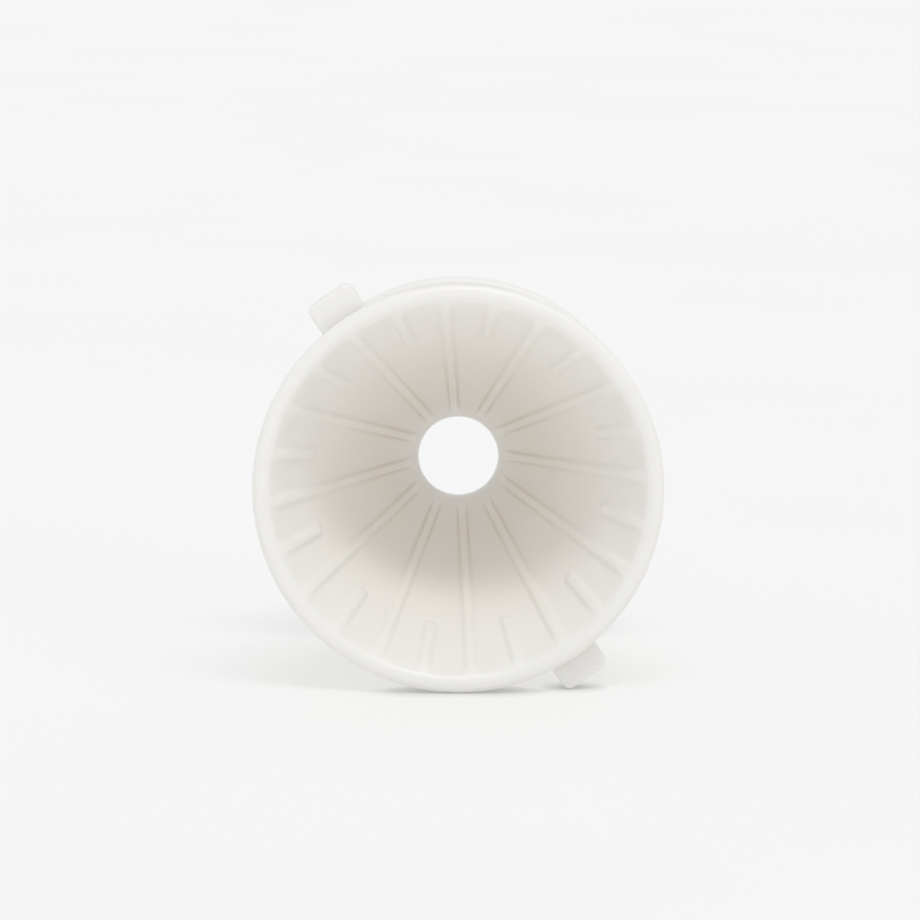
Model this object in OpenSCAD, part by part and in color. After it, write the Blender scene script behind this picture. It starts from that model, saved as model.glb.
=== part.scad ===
// Pour over dripper in glazed porcelain: a ribbed 60 degree cone with a rolled lip,
// two lifting ears under the lip and a saucer that rests on the mug.
// It stands upright on its foot ring: +Z is up, the foot is on z = 0, the ears lie on X.

/* [Overall] */
// Height from the foot to the top of the lip
height = 72; // [71:0.5:76]
// Outside diameter of the rolled lip
rim_d = 100; // [96:1:104]

/* [Cone] */
// Full angle of the inner wall, which the paper filter lies on
cone_angle = 60; // [58:1:62]
// Thickness of the wall, square to its surface
wall_t = 3.8; // [3.4:0.1:4.2]
// Thickness of the rolled lip
lip_t = 4.6; // [4.4:0.1:5]
// Diameter of the outlet at its narrowest
outlet_d = 20.6; // [19:0.2:22]
// Radius that rounds the wall into the outlet
outlet_round = 8; // [4:1:10]
// Diameter of the outlet at its lower end
outlet_exit_d = 22.6; // [22:0.2:24]
// Outside diameter of the drip spout
spout_d = 28.8; // [28:0.2:31]
// Height of the spout's end above the foot
spout_clear = 1.5; // [1:0.5:3]

/* [Ribs] */
// Number of long ribs, with as many short ones between them
rib_count = 12; // [8:1:14]
// Width of a rib where it leaves the wall
rib_w = 3.4; // [3:0.1:4.2]
// Height of a rib above the wall
rib_h = 1; // [0.8:0.1:1.2]
// Distance along the wall from the lip to the top of each rib
rib_start = 3; // [2:0.5:6]
// Distance along the wall from the lip to the tip of a long rib
long_rib_tip = 64; // [50:1:65]
// Distance along the wall from the lip to the tip of a short rib
short_rib_tip = 19.8; // [14:0.2:30]

/* [Ears] */
// Distance from the dripper's axis to the end of an ear
ear_reach = 56.8; // [54:0.2:60]
// Width of an ear
ear_w = 12.4; // [10:0.2:16]
// Thickness of an ear
ear_t = 5; // [4:0.5:6]
// Depth of an ear's upper face below the top of the lip
ear_drop = 4.6; // [4.6:0.1:8]
// Corner radius at the end of an ear
ear_corner_r = 2; // [1.5:0.1:4]

/* [Saucer] */
// Outside diameter of the saucer
saucer_d = 95; // [90:1:98]
// Thickness of the saucer, and of its rounded edge
saucer_t = 4.4; // [4:0.1:5]
// Depth of the middle of the saucer's edge below the top of the lip
saucer_depth = 55; // [53:0.5:56]
// Radius of the fillet between the saucer and the cone
hub_fillet = 3; // [2:0.5:4]
// Thickness of the fillet's upper edge on the cone
hub_edge = 0.5; // [0.4:0.1:0.8]

/* [Foot ring] */
// Outside diameter of the ring that centres the dripper in the mug
ring_d = 58; // [54:1:62]
// Thickness of the ring
ring_t = 4; // [3.5:0.5:5]
// Radius that rounds the two edges of the foot
foot_round = 1.2; // [0.8:0.1:1.5]

/* [Hidden] */

glaze = "#F1EFEA";
lathe_sides = 144;
rib_sides = 48;
over = 1;
half_angle = cone_angle / 2;

// The lip's circle, and the outlines below, are [radius, height] in the dripper's half section.
lip_r = lip_t / 2;
lip_centre = [rim_d / 2 - lip_r, height - lip_r];
into_wall = [cos(half_angle), -sin(half_angle)];
up_wall = [sin(half_angle), cos(half_angle)];
wall_top = lip_centre - lip_r * into_wall;

// The outer wall meets the lip's circle under its outer side.
outer_offset = wall_t - lip_r;
outer_rise = sqrt(lip_r * lip_r - outer_offset * outer_offset);
outer_top = lip_centre + outer_offset * into_wall - outer_rise * up_wall;
lip_start = -half_angle - atan2(outer_rise, outer_offset);

// The outlet's round is tangent to the inner wall and ends at its narrowest.
outlet_r = outlet_d / 2;
outlet_tangent_r = outlet_r + outlet_round * (1 - cos(half_angle));
outlet_tangent = on_wall(wall_top, outlet_tangent_r);
outlet_z = outlet_tangent[1] - outlet_round * sin(half_angle);
outlet_land = 1;
spout_round = 1.2;
spout_top = on_wall(outer_top, spout_d / 2);

// The saucer's round edge, and its fillet's centre beside the cone.
edge_r = saucer_t / 2;
edge_centre = [saucer_d / 2 - edge_r, height - saucer_depth];
saucer_top = edge_centre[1] + edge_r;
saucer_under = edge_centre[1] - edge_r;
fillet_z = saucer_top + hub_fillet;
fillet_centre = on_wall(outer_top + (hub_edge + hub_fillet) * into_wall, undef, fillet_z);

// A rib is a rod sunk into the wall so that rib_w by rib_h of it stands out.
rib_r = (rib_w * rib_w / 4 + rib_h * rib_h) / (2 * rib_h);

function arc(centre, r, from, to, steps) =
    [for (i = [0:steps]) let (a = from + (to - from) * i / steps) centre + r * [cos(a), sin(a)]];

// The point at a given radius, or else at a given height, on a line that runs up the wall.
function on_wall(start, r, z) =
    let (along = is_undef(r) ? (z - start[1]) / up_wall[1] : (r - start[0]) / up_wall[0])
    start + along * up_wall;

module lathe(outline) {
    rotate_extrude($fn = lathe_sides) polygon(outline);
}

module rib(tip) {
    sink = rib_w / 2;
    rod = tip - rib_start - 2 * sink;
    outline = concat(
        arc([0, 0], rib_r, -90, 0, 5),
        arc([0, rod], rib_r, 0, 90, 5)
    );
    translate([wall_top[0], 0, wall_top[1]])
        rotate([0, half_angle, 0])
            translate([rib_r - rib_h, 0, sink - tip])
                rotate_extrude($fn = rib_sides) polygon(outline);
}

module ribs(tip, turn) {
    for (i = [0:rib_count - 1])
        rotate(turn + i * 360 / rib_count) rib(tip);
}

module cone_body() {
    spout_r = spout_d / 2;
    exit_r = outlet_exit_d / 2;
    outline = concat(
        arc(lip_centre, lip_r, lip_start, 180 - half_angle, 20),
        arc([outlet_r + outlet_round, outlet_z], outlet_round, 180 - half_angle, 180, 8),
        [[outlet_r, outlet_z - outlet_land]],
        arc([exit_r + spout_round, spout_clear + spout_round], spout_round, 180, 270, 4),
        arc([spout_r - spout_round, spout_clear + spout_round], spout_round, -90, 0, 4),
        [spout_top]
    );
    color(glaze) union() {
        lathe(outline);
        ribs(long_rib_tip, 0);
        ribs(short_rib_tip, 180 / rib_count);
    }
}

// The solid that the cone's outer wall bounds, which the luted pieces are cut to fit.
module cone_envelope() {
    low = on_wall(outer_top, undef, saucer_under - over);
    high = on_wall(outer_top, undef, height);
    lathe([[0, low[1]], low, high, [0, high[1]]]);
}

module ear() {
    corner = [ear_reach - ear_corner_r, ear_w / 2 - ear_corner_r];
    outline = concat(
        [[rim_d / 4, -ear_w / 2]],
        arc([corner[0], -corner[1]], ear_corner_r, -90, 0, 8),
        arc(corner, ear_corner_r, 0, 90, 8),
        [[rim_d / 4, ear_w / 2]]
    );
    color(glaze) difference() {
        translate([0, 0, height - ear_drop - ear_t]) linear_extrude(ear_t) polygon(outline);
        cone_envelope();
    }
}

module ear_left() {
    rotate(180) ear();
}

module ear_right() {
    ear();
}

module base_saucer() {
    ring_r = ring_d / 2;
    inner_r = ring_r - ring_t;
    seat_low = on_wall(outer_top, undef, saucer_under);
    fillet_top = fillet_centre - hub_fillet * into_wall;
    seat_high = fillet_top - hub_edge * into_wall;
    outline = concat(
        [seat_low, seat_high],
        arc(fillet_centre, hub_fillet, 180 - half_angle, 270, 10),
        arc(edge_centre, edge_r, 90, -90, 16),
        [[ring_r, saucer_under]],
        arc([ring_r - foot_round, foot_round], foot_round, 0, -90, 4),
        arc([inner_r + foot_round, foot_round], foot_round, 270, 180, 4),
        [[inner_r, saucer_under]]
    );
    color(glaze) lathe(outline);
}

cone_body();
ear_left();
ear_right();
base_saucer();
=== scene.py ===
import math

import bpy
import numpy as np
from mathutils import Matrix, Vector


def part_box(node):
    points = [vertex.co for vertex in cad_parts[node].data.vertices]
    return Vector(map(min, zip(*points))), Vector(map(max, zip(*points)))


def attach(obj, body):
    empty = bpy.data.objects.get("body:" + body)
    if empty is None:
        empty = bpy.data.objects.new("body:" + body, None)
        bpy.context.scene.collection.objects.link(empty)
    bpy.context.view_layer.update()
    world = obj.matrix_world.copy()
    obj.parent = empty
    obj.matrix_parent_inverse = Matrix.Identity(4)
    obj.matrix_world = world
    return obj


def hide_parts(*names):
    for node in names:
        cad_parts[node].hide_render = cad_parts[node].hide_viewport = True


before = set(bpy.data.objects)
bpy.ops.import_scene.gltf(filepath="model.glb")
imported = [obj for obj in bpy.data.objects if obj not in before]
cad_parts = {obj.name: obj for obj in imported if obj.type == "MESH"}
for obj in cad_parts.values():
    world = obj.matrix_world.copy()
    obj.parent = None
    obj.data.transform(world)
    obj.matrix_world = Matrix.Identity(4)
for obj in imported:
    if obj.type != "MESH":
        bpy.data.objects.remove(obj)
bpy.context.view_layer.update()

MM = 0.001
CONE_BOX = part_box("cone_body")
SAUCER_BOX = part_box("base_saucer")
EAR_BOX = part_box("ear_right")

# ---------------------------------------------------------------- sizes, in metres and radians
HALF_ANGLE = math.radians(30)
TOP = CONE_BOX[1].z
RIM_R = CONE_BOX[1].y
SPOUT_END = CONE_BOX[0].z
WALL = 3.8 * MM
LIP_INNER_R = 3.2 * MM
LIP_OUTER_R = 1.8 * MM
UNDER_LIP_FILLET = 1.8 * MM
OUTLET_R = 10.3 * MM
OUTLET_ROUND = 8 * MM
OUTLET_LAND = 1 * MM
OUTLET_EXIT_R = 11.3 * MM
SPOUT_R = 14.4 * MM
SPOUT_ROUND = 1.2 * MM

# The ribs: a pitch holds one long and one short rib. Widths are taken half way up the sides.
PITCHES = 12
RIB_H = 0.8 * MM
HALF_WIDTH_AT_LIP = 1.35 * MM
HALF_WIDTH_AT_OUTLET = 1.15 * MM
SIDE_AT_LIP = 1.6 * MM
SIDE_AT_OUTLET = 0.8 * MM
RISE = (-2.0 * MM, 5 * MM)
LONG_TIP = 67.5 * MM
LONG_TIP_FALL = 6 * MM
SHORT_TIP = 19.8 * MM
SHORT_TIP_FALL = 2.5 * MM

SAUCER_R = SAUCER_BOX[1].x
SAUCER_EDGE_R = 2.2 * MM
SAUCER_EDGE_Z = TOP - 55 * MM
HUB_FILLET = 3 * MM
RING_R = 29 * MM
RING_WALL = 4 * MM
FOOT_ROUND = 1.2 * MM

EAR_END = EAR_BOX[1].x
EAR_HALF_WIDTH = EAR_BOX[1].y
EAR_CORNER_R = 2 * MM
EAR_EDGE_R = 0.9 * MM
EAR_FILLET = 1.1 * MM

# Directions in the half section, which is [radius, height]: into the wall, and up along it.
INTO = np.array([math.cos(HALF_ANGLE), -math.sin(HALF_ANGLE)])
UP = np.array([math.sin(HALF_ANGLE), math.cos(HALF_ANGLE)])
LIP_INNER_CENTRE = np.array([RIM_R - LIP_OUTER_R, TOP - LIP_INNER_R])
LIP_OUTER_CENTRE = np.array([RIM_R - LIP_OUTER_R, TOP - LIP_OUTER_R])
WALL_TOP = LIP_INNER_CENTRE - LIP_INNER_R * INTO

# ---------------------------------------------------------------- the picture's directions
# The ear on -X points down and to the right in the picture, EAR_TURN from straight down.
EAR_TURN = math.radians(34.1)
PICTURE_UP = Vector((math.cos(EAR_TURN), -math.sin(EAR_TURN), 0))
PICTURE_RIGHT = Vector((-math.sin(EAR_TURN), -math.cos(EAR_TURN), 0))
OUT_OF_MOUTH = Vector((0, 0, 1))


# ---------------------------------------------------------------- outlines
def arc(centre, radius, start, end, steps):
    """Points on an arc of a half section; the angles are in degrees."""
    a = np.radians(np.linspace(start, end, steps + 1))
    return np.array(centre) + radius * np.stack([np.cos(a), np.sin(a)], axis=1)


def straight(start, end, steps):
    """Points from start to end, without the two ends."""
    t = np.linspace(0, 1, steps + 1)[1:-1, None]
    return np.array(start) * (1 - t) + np.array(end) * t


def wall_point(distance, depth=0.0):
    """A point at a distance down the wall from the lip, and a depth below its inner surface."""
    return WALL_TOP - distance * UP + depth * INTO


def outer_at(z):
    """The radius of the cone's outer wall at a height."""
    start = wall_point(0, WALL)
    return start[0] + (z - start[1]) * UP[0] / UP[1]


def lathe(outline, angle):
    """The points and faces of a closed outline turned round Z to a row of angles."""
    sides, rings = len(angle), len(outline)
    points = np.empty((sides, rings, 3))
    points[..., 0] = np.cos(angle)[:, None] * outline[:, 0]
    points[..., 1] = np.sin(angle)[:, None] * outline[:, 0]
    points[..., 2] = outline[:, 1]
    i, j = np.meshgrid(np.arange(sides), np.arange(rings), indexing="ij")
    i2, j2 = (i + 1) % sides, (j + 1) % rings
    faces = np.stack([i * rings + j, i * rings + j2, i2 * rings + j2, i2 * rings + j], axis=-1)
    return points, faces.reshape(-1, 4)


def make_piece(name, points, faces, material, *nodes):
    """A smooth mesh piece that rides on the part and stands for its CAD nodes."""
    mesh = bpy.data.meshes.new(name)
    mesh.from_pydata(np.asarray(points).reshape(-1, 3).tolist(), [], [list(f) for f in faces])
    mesh.validate()
    mesh.shade_smooth()
    mesh.materials.append(material)
    piece = bpy.data.objects.new(name, mesh)
    bpy.context.scene.collection.objects.link(piece)
    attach(piece, "root")
    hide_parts(*nodes)
    return piece


# ---------------------------------------------------------------- materials
class Nodes:
    """A short way to add nodes to a material and link them."""

    def __init__(self, name):
        self.material = bpy.data.materials.new(name)
        self.material.use_nodes = True
        self.tree = self.material.node_tree
        self.tree.nodes.clear()
        self.output = self.tree.nodes.new("ShaderNodeOutputMaterial")

    def add(self, kind, **inputs):
        node = self.tree.nodes.new("ShaderNode" + kind)
        for key, value in inputs.items():
            self.put(node.inputs[key.replace("_", " ")], value)
        return node

    def put(self, socket, value):
        if isinstance(value, bpy.types.NodeSocket):
            self.tree.links.new(value, socket)
        else:
            socket.default_value = value

    def noise(self, scale, detail, roughness=0.5):
        where = self.add("TexCoord").outputs["Object"]
        node = self.add("TexNoise", Vector=where, Scale=scale, Detail=detail, Roughness=roughness)
        return node.outputs["Fac"]

    def remap(self, value, low, high, to_low, to_high):
        node = self.add("MapRange", Value=value)
        names = ("From Min", "From Max", "To Min", "To Max")
        for key, number in zip(names, (low, high, to_low, to_high)):
            node.inputs[key].default_value = number
        return node.outputs["Result"]

    def mix_colour(self, factor, a, b):
        node = self.add("Mix")
        node.data_type = "RGBA"
        self.put(node.inputs[0], factor)
        self.put(node.inputs[6], a)
        self.put(node.inputs[7], b)
        return node.outputs[2]


GLAZE = (0.883, 0.865, 0.832, 1)
GLAZE_MOTTLE = 0.985
# A darker, warmer tone painted where the cone's hollows fall into shade: deep in the cone and in the
# creases at the feet of the ribs.
GLAZE_PAINTED_SHADE = (0.80, 0.735, 0.65, 1)
SHADE_ATTRIBUTE = "painted_shade_share"
BISQUE = (0.74, 0.71, 0.66, 1)


def porcelain(name, foot=False):
    """White glazed porcelain. With foot, the glaze stops just above the foot's flat."""
    n = Nodes(name)
    tone = n.remap(n.noise(55, 3), 0.35, 0.65, 0, 1)
    # Painted shade: this attribute mixes in the darker, warmer tone deep in the cone and at the rib feet.
    shade_share = n.add("Attribute")
    shade_share.attribute_name = SHADE_ATTRIBUTE
    colour = n.mix_colour(tone, GLAZE, tuple(GLAZE_MOTTLE * c for c in GLAZE[:3]) + (1,))
    colour = n.mix_colour(shade_share.outputs["Fac"], colour, GLAZE_PAINTED_SHADE)
    rough = n.remap(n.noise(140, 4), 0.3, 0.7, 0.29, 0.37)
    ripple = n.noise(170, 2)
    bump = n.add("Bump", Height=ripple, Strength=0.25, Distance=0.00025)
    if foot:
        height = n.add("SeparateXYZ", Vector=n.add("TexCoord").outputs["Object"]).outputs["Z"]
        edge = n.add("Math")
        edge.operation = "MULTIPLY_ADD"
        n.put(edge.inputs[0], n.noise(400, 2))
        n.put(edge.inputs[1], 0.0004)
        n.put(edge.inputs[2], height)
        bare = n.remap(edge.outputs[0], 0.0007, 0.0009, 1, 0)
        colour = n.mix_colour(bare, colour, BISQUE)
        mixed = n.add("Mix")
        n.put(mixed.inputs[0], bare)
        n.put(mixed.inputs[2], rough)
        mixed.inputs[3].default_value = 0.75
        rough = mixed.outputs[0]
    shader = n.add("BsdfPrincipled", Roughness=rough, Normal=bump.outputs["Normal"])
    n.put(shader.inputs["Base Color"], colour)
    shader.inputs["IOR"].default_value = 1.5
    shader.inputs["Subsurface Weight"].default_value = 0.12
    shader.inputs["Subsurface Radius"].default_value = (1.0, 0.7, 0.45)
    shader.inputs["Subsurface Scale"].default_value = 0.0015
    n.put(n.output.inputs["Surface"], shader.outputs["BSDF"])
    return n.material


# ---------------------------------------------------------------- the pieces
def smooth_step(x):
    x = np.clip(x, 0, 1)
    return x * x * (3 - 2 * x)


def rib(across, down, tip, fall):
    """Two shares of a rib's height, across it and along it, at a distance down the wall from the lip."""
    share = np.clip(down / LONG_TIP, 0, 1)
    half = HALF_WIDTH_AT_LIP * (1 - share) + HALF_WIDTH_AT_OUTLET * share
    side = SIDE_AT_LIP * (1 - share) + SIDE_AT_OUTLET * share
    beyond = np.maximum(down - (tip - half - side / 2), 0)
    away = np.hypot(across, beyond)
    start, full = RISE
    rise = np.clip((down - start) / (full - start), 0, 1)
    flank = smooth_step((half + side / 2 - away) / side)
    return flank, smooth_step(rise) * np.clip((tip - down) / fall, 0, 1)


def rib_angles(samples):
    """Angles round the wall, closer together over each rib than between them."""
    count, crowding = 2 * PITCHES, 0.45
    u = (np.arange(count * samples) + 0.5) / samples - 0.5
    return (u - crowding * np.sin(2 * math.pi * u) / (2 * math.pi)) * 2 * math.pi / count


def painted_shade_share(r, along, foot):
    """Share of painted shade, a darker, warmer tone: more low on the wall and in the creases at the feet
    of the ribs, less at the outlet.
    """
    below_lip = 0.1 * smooth_step(along / (3 * MM))
    low = 0.4 * smooth_step((along - 3 * MM) / (42 * MM))
    lighter_at_outlet = 0.7 * smooth_step((along - 52 * MM) / (17 * MM))
    feet = 0.6 * foot * np.clip((30 * MM - r) / (12 * MM), 0, 1)
    return (below_lip + low) * (1 - lighter_at_outlet) + feet


def cone_body(material):
    """The ribbed wall, the rolled lip, the outlet and the spout as one closed surface."""
    outer_offset = WALL - (LIP_OUTER_CENTRE - WALL_TOP) @ INTO
    fillet_offset = outer_offset + UNDER_LIP_FILLET
    reach = math.sqrt((LIP_OUTER_R + UNDER_LIP_FILLET) ** 2 - fillet_offset ** 2)
    fillet_centre = LIP_OUTER_CENTRE + fillet_offset * INTO - reach * UP
    meet = math.degrees(math.atan2(*(fillet_centre - LIP_OUTER_CENTRE)[::-1]))
    half = math.degrees(HALF_ANGLE)

    lip_outside = arc(LIP_OUTER_CENTRE, LIP_OUTER_R, meet, 90, 20)
    lip = np.concatenate([lip_outside[:-1], arc(LIP_INNER_CENTRE, LIP_INNER_R, 90, 180 - half, 16)])
    tangent_r = OUTLET_R + OUTLET_ROUND * (1 - math.cos(HALF_ANGLE))
    wall_length = (WALL_TOP[0] - tangent_r) / UP[0]
    # Rows of the mesh down the wall: from and to, in mm, and how many.
    rows = [(0, 6.5, 15), (6.5, 15.5, 7), (15.5, 21, 16), (21, 61, 16), (61, wall_length / MM, 20)]
    down = np.concatenate([np.linspace(a, b, n, endpoint=False) for a, b, n in rows])[1:] * MM
    inner = WALL_TOP - down[:, None] * UP
    outlet_z = (WALL_TOP - wall_length * UP)[1] - OUTLET_ROUND * math.sin(HALF_ANGLE)
    mouth = arc([OUTLET_R + OUTLET_ROUND, outlet_z], OUTLET_ROUND, 180 - half, 180, 12)
    land = [OUTLET_R, outlet_z - OUTLET_LAND]
    low = SPOUT_END + SPOUT_ROUND
    inside_end = arc([OUTLET_EXIT_R + SPOUT_ROUND, low], SPOUT_ROUND, 180, 270, 6)
    outside_end = arc([SPOUT_R - SPOUT_ROUND, low], SPOUT_ROUND, -90, 0, 6)
    spout_top = (SPOUT_R - wall_point(0, WALL)[0]) / UP[0] * UP + wall_point(0, WALL)
    outside_start = fillet_centre - UNDER_LIP_FILLET * INTO
    fillet = arc(fillet_centre, UNDER_LIP_FILLET, 180 - half, meet + 180, 8)
    outline = np.concatenate([
        lip, inner, mouth, [land], straight(land, inside_end[0], 4), inside_end,
        straight(inside_end[-1], outside_end[0], 2), outside_end,
        straight(outside_end[-1], spout_top, 5), [spout_top],
        straight(spout_top, outside_start, 14), fillet[:-1],
    ])
    samples_per_rib = 22
    angle = rib_angles(samples_per_rib)
    points, faces = lathe(outline, angle)

    # The ribs and the painted shade reach from the end of the lip's rows into the mouth's.
    first = len(lip)
    band = slice(first - 8, first + len(inner) + 6)
    r = outline[band, 0][None, :]
    along = ((WALL_TOP - outline[band]) @ UP)[None, :]
    angle = angle[:, None]
    height = np.zeros((len(angle), r.shape[1]))
    foot = np.zeros_like(height)
    pitch = 2 * math.pi / PITCHES
    for turn, tip, fall in ((0, LONG_TIP, LONG_TIP_FALL), (pitch / 2, SHORT_TIP, SHORT_TIP_FALL)):
        off = (angle - turn + pitch / 2) % pitch - pitch / 2
        flank, lengthwise = rib(np.sin(off) * r, along, tip, fall)
        height = np.maximum(height, flank * lengthwise)
        foot = np.maximum(foot, 4 * flank * (1 - flank) * lengthwise)
    points[:, band, 0] -= RIB_H * height * INTO[0] * np.cos(angle)
    points[:, band, 1] -= RIB_H * height * INTO[0] * np.sin(angle)
    points[:, band, 2] -= RIB_H * height * INTO[1]
    piece = make_piece("ribbed_cone", points, faces, material, "cone_body")

    # Painted shade share per point: darker and warmer low on the wall and in the creases at the rib feet,
    # lighter again at the outlet.
    shade_share = np.zeros(points.shape[:2])
    shade_share[:, band] = painted_shade_share(r, along, foot)
    layer = piece.data.attributes.new(SHADE_ATTRIBUTE, "FLOAT", "POINT")
    layer.data.foreach_set("value", shade_share.ravel())
    return piece


def base_saucer(material):
    """The saucer, its fillet up the cone and the foot ring, as one closed surface."""
    half = math.degrees(HALF_ANGLE)
    top, under = SAUCER_EDGE_Z + SAUCER_EDGE_R, SAUCER_EDGE_Z - SAUCER_EDGE_R
    buried = 0.4 * MM
    rest = wall_point(0, WALL + HUB_FILLET)
    centre = rest + (top + HUB_FILLET - rest[1]) / UP[1] * UP
    fillet = arc(centre, HUB_FILLET, 180 - half, 270, 18)
    edge = arc([SAUCER_R - SAUCER_EDGE_R, SAUCER_EDGE_Z], SAUCER_EDGE_R, 90, -90, 22)
    inner_r = RING_R - RING_WALL
    corner = 0.8 * MM
    outside_corner = arc([RING_R + corner, under - corner], corner, 90, 180, 5)
    outside_foot = arc([RING_R - FOOT_ROUND, FOOT_ROUND], FOOT_ROUND, 0, -90, 8)
    inside_foot = arc([inner_r + FOOT_ROUND, FOOT_ROUND], FOOT_ROUND, 270, 180, 8)
    inside_corner = arc([inner_r - corner, under - corner], corner, 0, 90, 5)
    seat_low = [outer_at(under) - buried, under]
    seat_high = fillet[0] - buried * INTO
    outline = np.concatenate([
        [seat_high], fillet, straight(fillet[-1], edge[0], 14), edge,
        straight(edge[-1], outside_corner[0], 10), outside_corner,
        straight(outside_corner[-1], outside_foot[0], 9), outside_foot,
        straight(outside_foot[-1], inside_foot[0], 3), inside_foot,
        straight(inside_foot[-1], inside_corner[0], 9), inside_corner,
        straight(inside_corner[-1], seat_low, 6), [seat_low],
    ])
    sides = 288
    points, faces = lathe(outline, np.arange(sides) * 2 * math.pi / sides)
    return make_piece("saucer_with_foot", points, faces, material, "base_saucer")


def ear(name, node, turn, material):
    """A flat lug with rounded corners and edges, and a fillet where it is luted to the cone."""
    middle = (EAR_BOX[0].z + EAR_BOX[1].z) / 2
    half_t = (EAR_BOX[1].z - EAR_BOX[0].z) / 2
    root = RIM_R - 5.9 * MM
    stations = np.concatenate([
        np.linspace(root, EAR_END - EAR_CORNER_R, 26, endpoint=False),
        EAR_END - EAR_CORNER_R + EAR_CORNER_R * np.sin(np.linspace(0, math.pi / 2, 15)),
    ])
    across, around, upright = 20, 8, 6
    # At the ear's end the edge's radius shrinks with the inset, but never to nothing.
    edge_shrink = 0.98
    rows = []
    for x in stations:
        past = max(0.0, x - (EAR_END - EAR_CORNER_R))
        half_w = EAR_HALF_WIDTH - EAR_CORNER_R + math.sqrt(max(0.0, EAR_CORNER_R ** 2 - past ** 2))
        past = max(0.0, x - (EAR_END - EAR_EDGE_R))
        inset = EAR_EDGE_R - math.sqrt(max(0.0, EAR_EDGE_R ** 2 - past ** 2))
        thick = half_t - inset
        edge = EAR_EDGE_R - inset * edge_shrink
        section = []
        for sy, sz, start in ((1, 1, 0), (-1, 1, 90), (-1, -1, 180), (1, -1, 270)):
            centre = [sy * (half_w - edge), sz * (thick - edge)]
            section.append(arc(centre, edge, start, start + 90, around))
            if sz == sy:
                length = 2 * (half_w - edge)
                here = section[-1][-1]
                section.append(straight(here, here - [sy * length, 0], across))
            else:
                here = section[-1][-1]
                length = 2 * (thick - edge)
                section.append(straight(here, here - [0, sz * length], upright))
        rows.append(np.concatenate(section))
    section_points = np.array(rows)
    sections, ring = section_points.shape[:2]
    points = np.empty((sections, ring, 3))
    points[..., 0] = stations[:, None]
    points[..., 1] = section_points[..., 0]
    points[..., 2] = middle + section_points[..., 1]

    # The luted joint: near the wall's outside, each point moves out along the section's normal.
    half_size = np.array([EAR_HALF_WIDTH, half_t])
    outward = section_points / np.linalg.norm(section_points / half_size, axis=-1, keepdims=True)
    outward = outward / half_size ** 2
    outward = np.sign(outward) * np.abs(outward) ** 3
    outward /= np.linalg.norm(outward, axis=-1, keepdims=True)
    gap = (np.hypot(points[..., 0], points[..., 1]) - outer_at(points[..., 2])) * math.cos(HALF_ANGLE)
    short = np.clip(EAR_FILLET - np.abs(gap), 0, EAR_FILLET)
    flare = EAR_FILLET - np.sqrt(EAR_FILLET ** 2 - short ** 2)
    points[..., 1] += outward[..., 0] * flare
    points[..., 2] += outward[..., 1] * flare

    i, j = np.meshgrid(np.arange(sections - 1), np.arange(ring), indexing="ij")
    j2 = (j + 1) % ring
    faces = np.stack([i * ring + j, i * ring + j2, (i + 1) * ring + j2, (i + 1) * ring + j], axis=-1)
    faces = [list(f) for f in faces.reshape(-1, 4)]
    last = (sections - 1) * ring
    faces.append([last + k for k in range(ring)])
    faces.append([ring - 1 - k for k in range(ring)])
    spin = np.array(Matrix.Rotation(turn, 3, "Z"))
    return make_piece(name, points.reshape(-1, 3) @ spin.T, faces, material, node)


# ---------------------------------------------------------------- camera, floor, light
def look(obj, place, target, up):
    """Places an object so that its -Z looks at target and its Y is as near to up as it can be."""
    back = (place - target).normalized()
    side = up.cross(back).normalized()
    rotation = Matrix((side, back.cross(side), back)).transposed()
    obj.matrix_world = Matrix.Translation(place) @ rotation.to_4x4()


def add_camera():
    """Looks into the mouth from a little above, with a long lens."""
    distance = 0.9
    sensor_mm, lens_mm = 36, 145.45
    above = math.radians(8.15)
    target_up, target_right = 7.58 * MM, 0.41 * MM
    rim = Vector((0, 0, TOP))
    data = bpy.data.cameras.new("camera")
    data.sensor_width = sensor_mm
    data.lens = lens_mm
    camera = bpy.data.objects.new("camera", data)
    bpy.context.scene.collection.objects.link(camera)
    back = math.cos(above) * OUT_OF_MOUTH + math.sin(above) * PICTURE_UP
    place = rim + distance * back
    target = rim + target_up * PICTURE_UP + target_right * PICTURE_RIGHT
    look(camera, place, target, PICTURE_UP)
    bpy.context.scene.camera = camera


def floor_frame():
    """The picture's floor touches the lip and the saucer's edge, with the dripper on its side."""
    lip_low = Vector((0, 0, LIP_OUTER_CENTRE[1])) - RIM_R * PICTURE_UP
    saucer_low = Vector((0, 0, SAUCER_EDGE_Z)) - SAUCER_R * PICTURE_UP
    away = (saucer_low - lip_low).normalized()
    normal = PICTURE_RIGHT.cross(-away).normalized()
    if normal.dot(PICTURE_UP) < 0:
        normal = -normal
    return lip_low, away, normal


def floor_material():
    """A pale sheet, lit from below too. From behind, the view passes through it to the part."""
    n = Nodes("pale_sheet")
    shade = n.remap(n.noise(6, 2), 0.3, 0.7, 0.0, 1.0)
    colour = n.mix_colour(shade, (0.42, 0.42, 0.415, 1), (0.43, 0.43, 0.425, 1))
    matt = n.add("BsdfDiffuse", Color=colour)
    # The glow is dimmed by ambient occlusion within 5 mm of the dripper: a contact shadow painted into
    # the sheet's glow.
    contact_shadow = n.add("AmbientOcclusion", Distance=0.005)
    contact_shadow.samples = 8
    strength = n.remap(contact_shadow.outputs["AO"], 0.3, 1, 0.24, 0.5)
    glow = n.add("Emission", Color=(1, 0.995, 0.99, 1), Strength=strength)
    shader = n.add("AddShader")
    n.put(shader.inputs[0], matt.outputs[0])
    n.put(shader.inputs[1], glow.outputs[0])
    clear = n.add("BsdfTransparent")
    pick = n.add("MixShader")
    n.put(pick.inputs[0], n.add("NewGeometry").outputs["Backfacing"])
    n.put(pick.inputs[1], shader.outputs[0])
    n.put(pick.inputs[2], clear.outputs[0])
    n.put(n.output.inputs["Surface"], pick.outputs[0])
    return n.material


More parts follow.
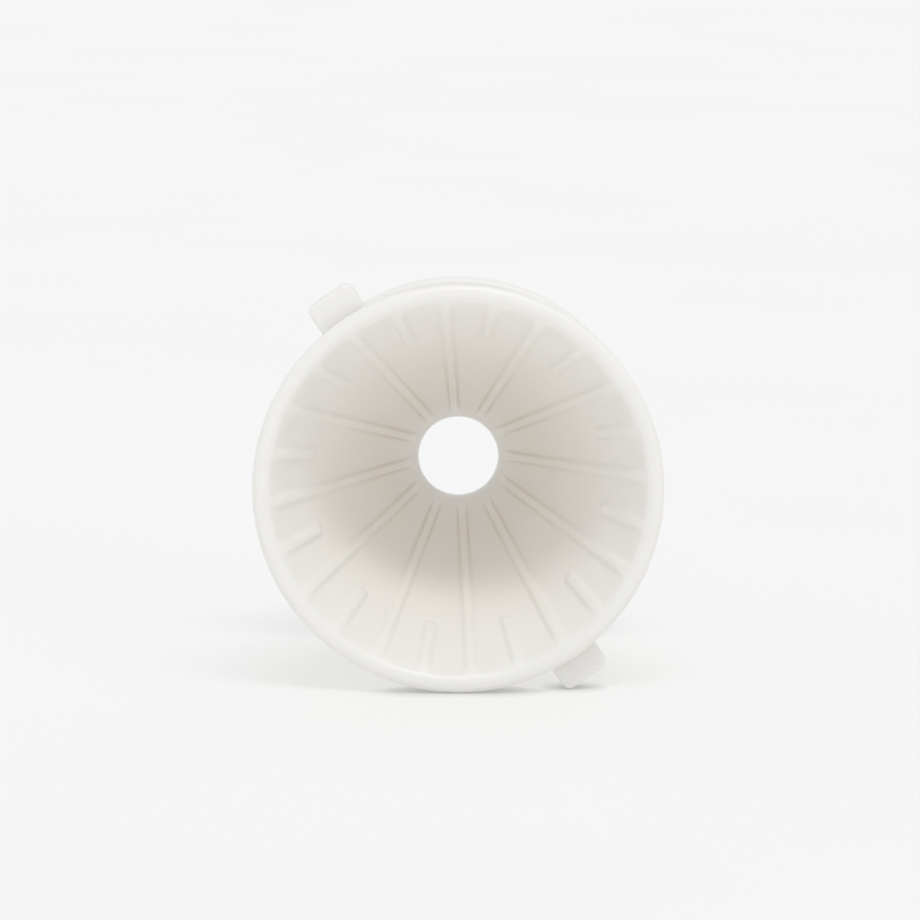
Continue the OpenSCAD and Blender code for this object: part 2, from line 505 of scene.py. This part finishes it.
def add_floor():
    lip_low, away, normal = floor_frame()
    side = PICTURE_RIGHT
    half = 6.0
    corners = [lip_low + half * (a * away + b * side) for a, b in ((-1, -1), (-1, 1), (1, 1), (1, -1))]
    mesh = bpy.data.meshes.new("floor")
    mesh.from_pydata([tuple(c) for c in corners], [], [(0, 1, 2, 3)])
    if mesh.polygons[0].normal.dot(normal) < 0:
        mesh.flip_normals()
    mesh.materials.append(floor_material())
    floor = bpy.data.objects.new("floor", mesh)
    bpy.context.scene.collection.objects.link(floor)


def add_strip_light(strength):
    """A strip light far above and a little in front, as a row of soft lamps from left to right."""
    up, out = 0.9, 0.37
    lamps, middle, half_spread, lamp_angle = 7, 8, 15, 11
    for i in range(lamps):
        turn = math.radians(middle + half_spread * (2 * i / (lamps - 1) - 1))
        towards = math.sin(turn) * PICTURE_RIGHT + math.cos(turn) * (up * PICTURE_UP + out * OUT_OF_MOUTH)
        data = bpy.data.lights.new(f"strip_{i + 1}", "SUN")
        data.angle = math.radians(lamp_angle)
        data.energy = strength / lamps
        lamp = bpy.data.objects.new(data.name, data)
        bpy.context.scene.collection.objects.link(lamp)
        look(lamp, towards, Vector((0, 0, 0)), OUT_OF_MOUTH)


def add_bounce(power):
    """A pale card that lies on the floor in front and lights the upper side of the mouth."""
    lip_low, away, normal = floor_frame()
    near, depth, width = 0.12, 0.5, 0.8
    lift = 4 * MM
    data = bpy.data.lights.new("bounce_card", "AREA")
    data.shape = "RECTANGLE"
    data.size, data.size_y = width, depth
    data.energy = power
    lamp = bpy.data.objects.new(data.name, data)
    bpy.context.scene.collection.objects.link(lamp)
    place = lip_low - (near + depth / 2) * away + lift * normal
    look(lamp, place, place + normal, away)


def add_world(strength):
    world = bpy.data.worlds.new("studio")
    world.use_nodes = True
    background = world.node_tree.nodes["Background"]
    background.inputs["Color"].default_value = (0.97, 0.985, 1.0, 1)
    background.inputs["Strength"].default_value = strength
    bpy.context.scene.world = world


bpy.context.scene.view_settings.view_transform = "Standard"
add_camera()
add_floor()
add_world(0.80)
add_strip_light(0.72)
add_bounce(0.45)

glazed = porcelain("glazed_porcelain")
footed = porcelain("glazed_porcelain_foot", foot=True)
cone_body(glazed)
base_saucer(footed)
ear("lifting_ear_left", "ear_left", math.pi, glazed)
ear("lifting_ear_right", "ear_right", 0, glazed)
